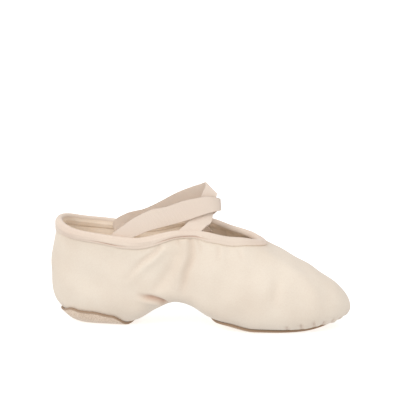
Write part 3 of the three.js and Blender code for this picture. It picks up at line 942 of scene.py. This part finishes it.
@dataclass
class Upper:
    """The canvas upper with its lining: one wall, open at the collar and under heel and ball.

    Attributes:
        relief: the creased canvas.
        columns: points round the shoe.
        wall_rows: rings down the outside of the wall.
        lining_rows: rings down its inside.
        under_rows: rings under the outline, on both faces.
        opening_inset: distance of the openings inside the patches.
    """

    relief: Relief
    columns: int = 420
    wall_rows: int = 100
    lining_rows: int = 34
    under_rows: int = 50
    opening_inset: float = 6.0

    def build(self) -> bpy.types.Object:
        """Build the wall: inside from the collar down, and outside back up, with the openings cut.

        Both faces have the same rings under the outline, so a cell of one lies over a cell of the
        other. Cells inside an opening's plan are left out, and upright strips join the two faces round
        what is left.

        Returns:
            The dressed upper.
        """
        last = self.relief.last
        angle = columns_round(self.columns)
        under = 1 + 2 * np.linspace(0, 1, self.under_rows + 1) ** 1.25
        inside = np.concatenate([np.linspace(0, 1, self.lining_rows, endpoint=False), under])
        outside = np.concatenate([np.linspace(0, 1, self.wall_rows, endpoint=False), under])
        level = np.concatenate([inside, outside[::-1]])
        depth = np.concatenate([np.full(len(inside), -WALL), np.zeros(len(outside))])
        points = self.relief.at(angle[None], level[:, None], depth[:, None])
        closed = np.concatenate([angle, [math.pi + (angle[0] + math.pi)]])
        around = arc_lengths(last.outline_at(closed), 0)
        around = around - np.interp(0, closed, around)
        places = np.linspace(0, 3, 61)
        down = np.interp(level, places, arc_lengths(last.face(np.array(-math.pi / 2), places), 0))
        uv = np.stack(np.broadcast_arrays(around[None], np.append(down, down[0])[:, None]), -1)
        # painted shade of the creases, on the canvas face only
        painted_shade = self.relief.read(self.relief.painted_shade, angle[None], level[:, None])
        painted_shade = painted_shade * (depth > -WALL / 2)[:, None]
        rows = len(level)
        open_cells = self.open_cells(angle, under)
        first_under, first_outside = self.lining_rows, len(inside)
        keep = np.ones((rows, self.columns), bool)
        keep[first_under:first_under + self.under_rows] = ~open_cells
        keep[first_outside:first_outside + self.under_rows] = ~open_cells[::-1]
        keep[first_outside - 1] = False
        # the inside face takes the lining, painted lighter for the light inside the shoe
        part = np.repeat((np.arange(rows) < first_outside).astype(int)[:, None], self.columns, 1)
        number = np.arange(rows * self.columns).reshape(rows, self.columns)
        rims = self.rims(open_cells, number[first_under:first_under + self.under_rows + 1],
                         number[first_outside:first_outside + self.under_rows + 1][::-1])
        thing = MeshMaker.grid("canvas_upper", points, uv, True, keep, {"painted_shade": painted_shade}, part, rims)
        dress(thing, "canvas", CANVAS, LINING_PAINTED_LIGHT, stands_for="upper")
        return thing

    def open_cells(self, angle: Array, under: Array) -> Array:
        """Cells under the outline whose middle lies inside the plan of an opening."""
        last = self.relief.last
        middle_angle = (angle + np.append(angle[1:], angle[0] + 2 * math.pi)) / 2
        middle_angle = np.where(middle_angle > math.pi, middle_angle - 2 * math.pi, middle_angle)
        middle_level = (under[1:] + under[:-1]) / 2
        middle = last.face(middle_angle[None], middle_level[:, None])[..., :2]
        inside = np.zeros(middle.shape[:2], bool)
        for plan in (HEEL_PATCH, BALL_PATCH):
            inside |= within(plan.outline(last, self.opening_inset), middle)
        return inside

    @staticmethod
    def rims(open_cells: Array, lining: Array, canvas: Array) -> Array:
        """Strips that join the two faces where a kept cell meets an open one.

        Args:
            open_cells: whether each cell under the outline is open.
            lining: point numbers of the inside face there.
            canvas: point numbers of the outside face there.

        Returns:
            Quadrangles, facing into the opening.
        """
        ahead = np.roll(open_cells, -1, 1)
        above, below = open_cells[:-1], open_cells[1:]
        edges = ((~above & below, True, False), (above & ~below, True, True),
                 (~open_cells & ahead, False, True), (open_cells & ~ahead, False, False))
        strips = []
        for mask, along_row, turned in edges:
            i, j = np.nonzero(mask)
            k = (j + 1) % open_cells.shape[1]
            start, end = (i + 1, j) if along_row else (i, k), (i + 1, k)
            strip = np.stack([lining[start], canvas[start], canvas[end], lining[end]], -1)
            strips.append(strip[:, ::-1] if turned else strip)
        return np.concatenate(strips)


def within(ring: Array, points: Array) -> Array:
    """Whether plan points lie inside a closed ring: a ray along x crosses it an odd number of times."""
    x, y = points[..., 0, None], points[..., 1, None]
    here, there = ring, np.roll(ring, -1, 0)
    spans = (here[:, 1] > y) != (there[:, 1] > y)
    rise = np.where(np.abs(there[:, 1] - here[:, 1]) < 1e-9, 1e-9, there[:, 1] - here[:, 1])
    cross = here[:, 0] + (y - here[:, 1]) / rise * (there[:, 0] - here[:, 0])
    return (spans & (cross > x)).sum(-1) % 2 == 1


@dataclass
class Patch:
    """A layer under or over the canvas with a patch's plan: a sole patch or an insole pad.

    Attributes:
        relief: the creased canvas.
        plan: its outline.
        name: name of the piece.
        node: the node that it stands for.
        top: depth of its upper face.
        bottom: depth of its lower face.
        moved_in: distance inside the plan's edge.
        rings: rings of each face.
        edge_rings: rings round the edge.
        edge_share: share of the plan that the round edge takes.
        cut: breadth of the cut edge's colour.
        pattern: the cloth's pattern from the middle to the edge.
    """

    relief: Relief
    plan: PatchPlan
    name: str
    node: str
    top: float
    bottom: float
    moved_in: float = 0.0
    rings: int = 44
    edge_rings: int = 6
    edge_share: float = 0.012
    cut: float = 0.7
    pattern: float = 30.0

    def build(self, slot: str, finish: Cloth | Suede) -> bpy.types.Object:
        """Build the layer: rings from the middle out over one face, round the edge and back.

        Each ring is the outline drawn towards the middle by a share. The edge is half an ellipse
        between the two faces, so it looks cut and rubbed, not sharp.

        Args:
            slot: the record's material slot.
            finish: its finish.

        Returns:
            The dressed layer.
        """
        last = self.relief.last
        ring = self.plan.outline(last, self.moved_in)
        middle = ring.mean(0)
        out = np.sin(np.linspace(0, math.pi / 2, self.rings))
        turn = np.linspace(0, math.pi, self.edge_rings + 2)[1:-1]
        half, centre = (self.top - self.bottom) / 2, (self.top + self.bottom) / 2
        edge_out = 1 + self.edge_share * (np.sin(turn) - 1)
        out = out * edge_out.min() * 0.996
        share = np.concatenate([out, edge_out, out[::-1]])
        depth = np.concatenate([np.full(self.rings, self.top), centre + half * np.cos(turn),
                                np.full(self.rings, self.bottom)])
        plan = middle + (ring - middle)[None] * share[:, None, None]
        angle, level = last.place_under(plan[..., 0], plan[..., 1])
        points = self.relief.at(angle, level, depth[:, None])
        width = length_of((ring - middle)[None] * (1 - share)[:, None, None])
        edge = np.clip(1 - width / self.cut, 0, 1) ** 0.5
        around = arc_lengths(np.concatenate([ring, ring[:1]]), 0)
        inward = np.append(share, share[0]) * self.pattern
        uv = np.stack(np.broadcast_arrays(around[None], inward[:, None]), -1)
        thing = MeshMaker.grid(self.name, points, uv, attributes={"edge": edge})
        dress(thing, slot, finish, stands_for=self.node)
        return thing


@dataclass
class Binding:
    """The tape folded over the collar's edge: a padded casing for the drawstring with a flat sewn flange.

    Attributes:
        relief: the creased canvas.
        columns: points round the collar.
        leaf_rows, fold_rows, inner_rows: rings of the outer leaf, of the fold and of the inner leaf.
        inside: height of the leaf inside the shoe.
        casing: share of the outer leaf that the casing takes, down to the groove.
        outside: height of the outer leaf and depth of its groove, by angle in degrees.
    """

    relief: Relief
    columns: int = 840
    leaf_rows: int = 26
    fold_rows: int = 10
    inner_rows: int = 16
    inside: float = 6.0
    casing: float = 0.74
    outside: Table = field(default_factory=lambda: Table(("angle", "height", "groove"), [
        (-180, 6.4, 0.1), (-142, 6.9, 0.1), (-120, 8.0, 0.1), (-108, 8.2, 0.15), (-102, 7.2, 0.5),
        (-98.5, 5.0, 1.0), (-94, 4.4, 1.1), (-88, 4.5, 1.0), (-83, 5.2, 0.7), (-78, 5.9, 0.2),
        (-68, 6.6, 0.15), (-63, 6.6, 0.7), (-58, 5.8, 1.1), (-52, 5.2, 0.7), (-46, 5.2, 0.15),
        (-31, 5.8, 0.05), (-15, 7.2, 0.05), (0, 7.4, 0.1), (40, 6.6, 0.1), (62, 6.6, 0.7),
        (80, 6.2, 0.2), (95, 5.2, 0.9), (110, 7.3, 0.2), (150, 7.0, 0.1), (180, 6.4, 0.1),
    ]))

    def down(self, angle: Array, drop: Array) -> Array:
        """Level at which the wall has gone a distance down from the collar, from a table of its length."""
        last = self.relief.last
        level = np.linspace(0, 0.6, 61)
        gone = arc_lengths(last.face(angle[None], level[:, None]), 0)
        found = np.empty(np.broadcast_shapes(drop.shape, (1, len(angle))))
        wanted = np.broadcast_to(drop, found.shape)
        for row in range(len(wanted)):
            index = (gone[1:-1] < wanted[row]).sum(0)[None]
            start, end = (np.take_along_axis(gone, index + step, 0)[0] for step in (0, 1))
            found[row] = level[index[0]] + (wanted[row] - start) / (end - start) * level[1]
        return found

    def beside(self, angle: Array, drop: Array, depth: Array) -> Array:
        """Points a drop down the wall from the collar at a depth, or above it where the drop is under 0."""
        last = self.relief.last
        level = self.down(angle, np.maximum(drop, 0))
        points = self.relief.at(angle[None], level, depth)
        up = unit(last.face(angle, np.array(0.0)) - last.face(angle, np.array(TINY)))
        return points + up[None] * np.maximum(-drop, 0)[..., None]

    def build(self) -> bpy.types.Object:
        """Build the tape round a section in drop and depth, from the flange's edge over the fold and inside.

        The outer leaf swells over the casing as a sine of the way down, sinks at the groove as a bell
        curve, and lies flat on the flange. Small folds run along it as sines of the angle.

        Returns:
            The dressed tape.
        """
        angle = columns_round(self.columns, 0.06)
        height = self.outside.at("height", np.degrees(angle))
        groove = self.outside.at("groove", np.degrees(angle))
        outer, inner = GAP + LEAF, -WALL - GAP - LEAF
        share = np.linspace(1, 0, self.leaf_rows)[:, None]
        casing = np.sin(math.pi * np.clip(share / self.casing, 0, 1)) ** 0.7
        wander = self.casing + 0.03 * np.sin(angle * 9 + 1) + 0.02 * np.sin(angle * 23)
        bell = np.exp(-((share - wander) / 0.075) ** 2)
        ripple = 0.10 * np.sin(share * 9 + 2.2 * np.sin(angle * 5)) + 0.06 * np.sin(share * 17 + angle * 11)
        flange = smooth((share - 0.8) / 0.2)
        swell = 0.55 * casing - bell * groove * 0.75 - 0.45 * flange + ripple * casing
        outside = (share * height, np.maximum(outer + swell, GAP + 0.35))
        middle, half = (outer + inner) / 2, (outer - inner) / 2
        turn = np.linspace(0, math.pi, self.fold_rows + 2)[1:-1, None]
        fold = (-half * 0.95 * np.sin(turn) + 0 * angle, middle + half * np.cos(turn) + 0 * angle)
        share = np.linspace(0, 1, self.inner_rows)[:, None]
        lines = 0.09 * np.sin(share * 15 + 1.4 * np.sin(angle * 3)) * np.sin(math.pi * share)
        inside = (share * self.inside + 0 * angle, inner - lines + (LEAF - 0.35) * smooth(share * 2 - 1))
        within_wall = -WALL - GAP
        hidden = ((self.inside, within_wall), (self.inside / 2, within_wall), (-GAP, within_wall), (-GAP, GAP))
        back = [(np.full((1, len(angle)), a), np.full((1, len(angle)), b)) for a, b in hidden]
        back += [(height[None] * part, np.full((1, len(angle)), GAP)) for part in (0.5, 1.0)]
        drop, depth = (np.concatenate(parts) for parts in zip(outside, fold, inside, *back))
        points = self.beside(angle, drop, depth)
        # painted shadow: the groove under the casing is darkened where the casing shades it
        painted_shade = np.zeros_like(drop)
        painted_shade[:self.leaf_rows] = np.clip(bell * (groove - 0.2) * 0.9, 0, 1)
        across = arc_lengths(np.concatenate([points, points[:1]])[:, :1], 0)[:, 0]
        rim = points[self.leaf_rows - 1]
        around = arc_lengths(np.concatenate([rim, rim[:1]]), 0)
        uv = np.stack(np.broadcast_arrays(around[None], across[:, None]), -1)
        # the inner leaf takes the tape painted lighter, for the light inside the shoe
        parts = np.zeros(drop.shape, int)
        parts[self.leaf_rows + self.fold_rows + 1:] = 1
        thing = MeshMaker.grid("collar_tape", points, uv, True, attributes={"painted_shade": painted_shade}, parts=parts)
        dress(thing, "binding", TAPE, TAPE_INSIDE_LIT, stands_for="collar_binding")
        return thing

    def stitches(self) -> bpy.types.Object:
        """Build the sewing along the flange, a little above its edge and sunk by half."""
        angle = np.linspace(-math.pi, math.pi, 2401)
        drop = self.outside.at("height", np.degrees(angle)) - 0.9
        line = self.beside(angle, drop[None], np.full((1, len(angle)), GAP + 0.72))[0]
        thing = sewn_row("tape_stitches", line)
        dress(thing, "binding", THREAD)
        return thing


def sewn_row(name: str, line: Array, pitch: float = 2.3, length: float = 1.7,
             breadth: float = 0.42) -> bpy.types.Object:
    """Stitches at an even pitch along a line, each a small spindle of five rings of six points.

    A ring's radius goes as the square root of the sine of the way along the stitch.

    Args:
        name: name of the piece.
        line: points of the line, close together.
        pitch: from stitch to stitch.
        length: of a stitch.
        breadth: of the thread.

    Returns:
        The stitches as one object.
    """
    rings, sides = 5, 6
    gone = arc_lengths(line, 0)
    count = int(gone[-1] / pitch)
    starts = (np.arange(count) + 0.5) * gone[-1] / count
    share = np.linspace(0.02, 0.98, rings)
    places = starts[:, None] + (share - 0.5)[None] * length
    middle = np.stack([np.interp(places, gone, line[:, k]) for k in range(3)], -1)
    ahead = unit(np.gradient(middle, axis=1))
    side = unit(np.cross(ahead, np.array([0.0, 0.0, 1.0])))
    up = np.cross(side, ahead)
    turn = np.linspace(0, 2 * math.pi, sides, endpoint=False)
    radius = breadth / 2 * np.sqrt(np.sin(math.pi * share))
    ring = side[:, :, None] * np.cos(turn)[:, None] + up[:, :, None] * np.sin(turn)[:, None]
    points = middle[:, :, None] + ring * radius[:, None, None]
    number = np.arange(count * rings * sides).reshape(count, rings, sides)
    here, there = number[:, :-1], number[:, 1:]
    quads = np.stack([here, np.roll(here, -1, 2), np.roll(there, -1, 2), there], -1).reshape(-1, 4)
    first, last = number[:, 0], number[:, -1]
    caps = [first[:, [0, 5, 4, 3]], first[:, [0, 3, 2, 1]], last[:, [0, 1, 2, 3]], last[:, [0, 3, 4, 5]]]
    quads = np.concatenate([quads, *caps])
    return MeshMaker.build(name, points.reshape(-1, 3), quads, np.zeros((len(quads), 4, 2)))


@dataclass(frozen=True)
class StrapEnd:
    """Where a strap's end is tucked behind the binding: its side and the places of its two edges."""

    side: Side
    upper: float
    lower: float


@dataclass
class Strap:
    """An elastic strap between two edge curves, from the rear of the collar over the instep to its front.

    Attributes:
        relief: the creased canvas.
        name: name of the piece.
        node: the node that it stands for.
        rear: its rear end.
        front: its front end.
        rows: the upper edge's x, y, z and the lower edge's, at each section.
        thickness: of the band.
        tuck: how far its ends reach down behind the binding.
        tuck_gap: clearance there.
        steps: sections along the band.
        across: points across each face.
    """

    relief: Relief
    name: str
    node: str
    rear: StrapEnd
    front: StrapEnd
    rows: tuple[tuple[float, ...], ...]
    thickness: float = 1.3
    tuck: float = 9.0
    tuck_gap: float = 0.8
    steps: int = 240
    across: int = 20

    def edge(self, binding: Binding, upper: bool) -> Array:
        """Points of one edge curve.

        It is a uniform Catmull-Rom curve through the sections and the two tucks, each of which goes
        straight down behind the binding from the collar's edge.

        Args:
            binding: the tape, for the places of the tucks.
            upper: whether it is the upper edge.

        Returns:
            The points, from the rear tuck to the front one.
        """
        last = self.relief.last
        depth = np.full((1, 1), -(WALL + GAP + LEAF + self.tuck_gap + self.thickness / 2))
        turn = np.linspace(0, math.pi, 4001)
        ends = []
        for end in (self.rear, self.front):
            x = last.collar_at(end.side.value * turn)[:, 0]
            angle = np.array([end.side.value * np.interp(end.upper if upper else end.lower, x, turn)])
            ends.append([binding.beside(angle, np.full((1, 1), drop), depth)[0, 0]
                         for drop in (self.tuck, 0.0)])
        rows = np.array(self.rows, float)
        points = np.concatenate([ends[0], rows[:, :3] if upper else rows[:, 3:], ends[1][::-1]])
        steps = np.linspace(0, len(points) - 1, self.steps + 1)
        return np.stack([through(points[:, k], steps) for k in range(3)], -1)

    def build(self, binding: Binding) -> bpy.types.Object:
        """Build the band: its section is a flat oval of half round edges, carried between the curves.

        Args:
            binding: the tape, for the places of the tucks.

        Returns:
            The dressed strap.
        """
        top, bottom = self.edge(binding, True), self.edge(binding, False)
        span = bottom - top
        forward = np.gradient((top + bottom) / 2, axis=0)
        out = unit(np.cross(forward, span))
        half = self.thickness / 2
        share = (1 - np.cos(np.linspace(0, math.pi, self.across))) / 2
        turn = np.linspace(0, math.pi, 6)[1:-1]
        flat, ends = 0 * share, 0 * turn
        place = np.concatenate([share, ends + 1, share[::-1], ends])
        shift = np.concatenate([flat, np.sin(turn) * half - half, flat, half - np.sin(turn) * half])
        height = np.concatenate([flat + half, np.cos(turn) * half, flat - half, -np.cos(turn) * half])
        inset = np.concatenate([0.5 - share, ends - 0.5, 0.5 - share[::-1], ends + 0.5]) * 2 * half
        points = (top[:, None] + span[:, None] * place[None, :, None] + out[:, None] * height[None, :, None]
                  + unit(span)[:, None] * (inset + shift)[None, :, None])
        gone = arc_lengths((top + bottom) / 2, 0)
        flat = np.append(place * ELASTIC.width, 0.0)
        uv = np.stack(np.broadcast_arrays(gone[:, None], flat[None]), -1)
        thing = MeshMaker.grid(self.name, points, uv)
        cap_ends(thing)
        dress(thing, "elastic", ELASTIC, stands_for=self.node)
        return thing


def cap_ends(thing: bpy.types.Object) -> None:
    """Close the open ends of a band or tube with one face each, and turn every face outward."""
    shaped = bmesh.new()
    shaped.from_mesh(thing.data)
    bmesh.ops.holes_fill(shaped, edges=[edge for edge in shaped.edges if edge.is_boundary], sides=0)
    bmesh.ops.recalc_face_normals(shaped, faces=shaped.faces)
    shaped.to_mesh(thing.data)
    shaped.free()


STRAP_OVER_ROWS = (
    (60.5, -21, 80.5, 72.5, -21, 72), (69, -19.5, 86.5, 78, -20, 74.5), (81, -17, 92, 85, -18.5, 76.5),
    (91.5, -14.5, 94, 95, -16, 79), (104, -11, 98, 108, -12.5, 82.5), (114.5, -7.5, 100, 119, -9, 86),
    (122.5, -5.6, 101, 126.5, -6.5, 88), (128.5, -3.4, 99.3, 130.8, -3.8, 88.4),
    (131, 0, 98, 131.8, 0, 88.2), (128.5, 3.6, 98, 130.6, 4, 87.8), (122.5, 7.8, 97, 129, 8.5, 86),
    (115.5, 11.8, 93, 126.5, 12, 83.5), (109, 15, 88.5, 124, 15, 81),
)
STRAP_UNDER_ROWS = (
    (55, 22.3, 80.2, 70, 21.3, 72.5), (69.8, 19, 85.1, 76.6, 19.6, 72.5), (82.9, 15.5, 92, 89.5, 16.8, 78),
    (95.1, 12, 99.3, 102, 13.2, 85.2), (107.2, 8.5, 105, 114, 9.2, 91), (115.5, 4.8, 108.4, 123, 5, 95.8),
    (119.3, 1.8, 110.2, 128, 2.2, 99.8), (119.8, -0.6, 108.5, 129.2, -0.2, 100.3),
    (118, -2.6, 103.5, 128, -1.6, 94), (115.5, -4, 97, 127, -2.6, 88), (113, -5, 91, 126.5, -6, 82.5),
    (110.8, -7.3, 85, 125.5, -10.2, 80), (106.8, -12.4, 80.3, 122.5, -14.5, 78.5),
)


@dataclass
class Studio:
    """The camera at the photograph's angle, a pale floor and soft light.

    Attributes:
        azimuth, elevation: of the camera, in degrees from the outer side and up.
        distance: from the target, in metres.
        target: the point, in metres, that the picture is placed by.
        focal_pixels: focal length in pixels of the image.
        target_right, target_below: pixels of the target from the image's middle.
        image: breadth of the image in pixels.
        sensor: breadth of the sensor in mm.
    """

    azimuth: float = 7.0
    elevation: float = 14.5
    distance: float = 1.2
    target: tuple[float, float, float] = (0.072, 0.0, 0.030)
    focal_pixels: float = 1560.0
    target_right: float = 1.4
    target_below: float = 84.7
    image: float = 400.0
    sensor: float = 36.0

    def camera(self) -> None:
        """Place the camera on a sphere round the target, and turn it until the target falls on its pixel."""
        turn, tilt = math.radians(self.azimuth), math.radians(self.elevation)
        back = Vector((math.sin(turn) * math.cos(tilt), -math.cos(turn) * math.cos(tilt), math.sin(tilt)))
        data = bpy.data.cameras.new("camera")
        data.sensor_width = self.sensor
        data.lens = self.focal_pixels * self.sensor / self.image
        thing = bpy.data.objects.new("camera", data)
        bpy.context.scene.collection.objects.link(thing)
        thing.location = Vector(self.target) + back * self.distance
        pitch = math.atan2(self.target_below, self.focal_pixels)
        yaw = math.atan2(self.target_right, self.focal_pixels)
        thing.rotation_euler = (math.pi / 2 - tilt + pitch, 0.0, turn + yaw)
        bpy.context.scene.camera = thing

    def floor(self) -> None:
        """Lay a pale sweep: flat under the shoe, turning up behind it along a quarter circle, in metres."""
        front, flat, radius, wall, half = -3.0, 2.2, 1.2, 2.5, 4.0
        turn = np.linspace(0, math.pi / 2, 25)
        y = np.concatenate([[front], flat + radius * np.sin(turn), [flat + radius]])
        z = np.concatenate([[0.0], radius - radius * np.cos(turn), [wall]])
        across = np.array([-half, half])
        points = np.stack(np.broadcast_arrays(across[None], y[:, None], z[:, None]), -1).reshape(-1, 3)
        i = np.arange(len(y) - 1) * 2
        mesh = bpy.data.meshes.new("floor")
        mesh.from_pydata(points.tolist(), [], np.stack([i, i + 1, i + 3, i + 2], -1).tolist())
        mesh.polygons.foreach_set("use_smooth", [True] * len(mesh.polygons))
        thing = bpy.data.objects.new("floor", mesh)
        bpy.context.scene.collection.objects.link(thing)
        shader = Shader("floor paper")
        for key, value in (("Base Color", (0.85, 0.85, 0.85, 1)), ("Roughness", 0.8),
                           ("Emission Color", (1, 1, 1, 1)), ("Emission Strength", 0.5)):
            shader.surface.inputs[key].default_value = value
        mesh.materials.append(shader.material)
        thing.visible_diffuse = False

    def light(self, name: str, at: tuple[float, float, float], size: float, power: float) -> None:
        """Hang a square area light facing the shoe."""
        data = bpy.data.lights.new(name, "AREA")
        data.size = size
        data.energy = power
        thing = bpy.data.objects.new(name, data)
        bpy.context.scene.collection.objects.link(thing)
        thing.location = at
        thing.rotation_euler = (Vector(self.target) - Vector(at)).to_track_quat("-Z", "Y").to_euler()

    def build(self) -> None:
        """Set up camera, floor, lights and the white surroundings."""
        self.camera()
        self.floor()
        self.light("front light", (-0.7, -1.2, 0.9), 0.8, 8.0)
        self.light("right light", (1.3, -0.9, 0.5), 0.9, 2.2)
        self.light("top light", (0.1, -0.3, 1.5), 0.8, 1.8)
        world = bpy.data.worlds.new("surroundings")
        world.use_nodes = True
        sky = world.node_tree.nodes["Background"]
        sky.inputs["Color"].default_value = (1, 1, 1, 1)
        sky.inputs["Strength"].default_value = 0.79
        bpy.context.scene.world = world
        bpy.context.scene.view_settings.view_transform = "Standard"


def main() -> None:
    """Build the studio and then every piece of the slipper."""
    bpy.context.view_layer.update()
    Studio().build()
    relief = Relief(Last(), OUTER_CREASES + INNER_CREASES + pleats())
    Upper(relief).build()
    binding = Binding(relief)
    binding.build()
    binding.stitches()
    Strap(relief, "strap_over_band", "elastic_strap_over", StrapEnd(Side.OUTER, 49, 67),
          StrapEnd(Side.INNER, 101, 120), STRAP_OVER_ROWS).build(binding)
    Strap(relief, "strap_under_band", "elastic_strap_under", StrapEnd(Side.INNER, 44, 62),
          StrapEnd(Side.OUTER, 101, 120), STRAP_UNDER_ROWS).build(binding)
    over = -WALL - GAP
    for plan, place in ((HEEL_PATCH, "heel"), (BALL_PATCH, "forefoot")):
        Patch(relief, plan, f"{place}_patch", f"{place}_sole", GAP, GAP + SOLE).build("suede", SUEDE)
        layer = Patch(relief, plan, f"{place}_pad", f"{place}_insole", over - INSOLE, over, 2.5)
        layer.build("lining", PAD)


if __name__ == "__main__":
    logging.basicConfig(level=logging.INFO, format="%(message)s")
    main()
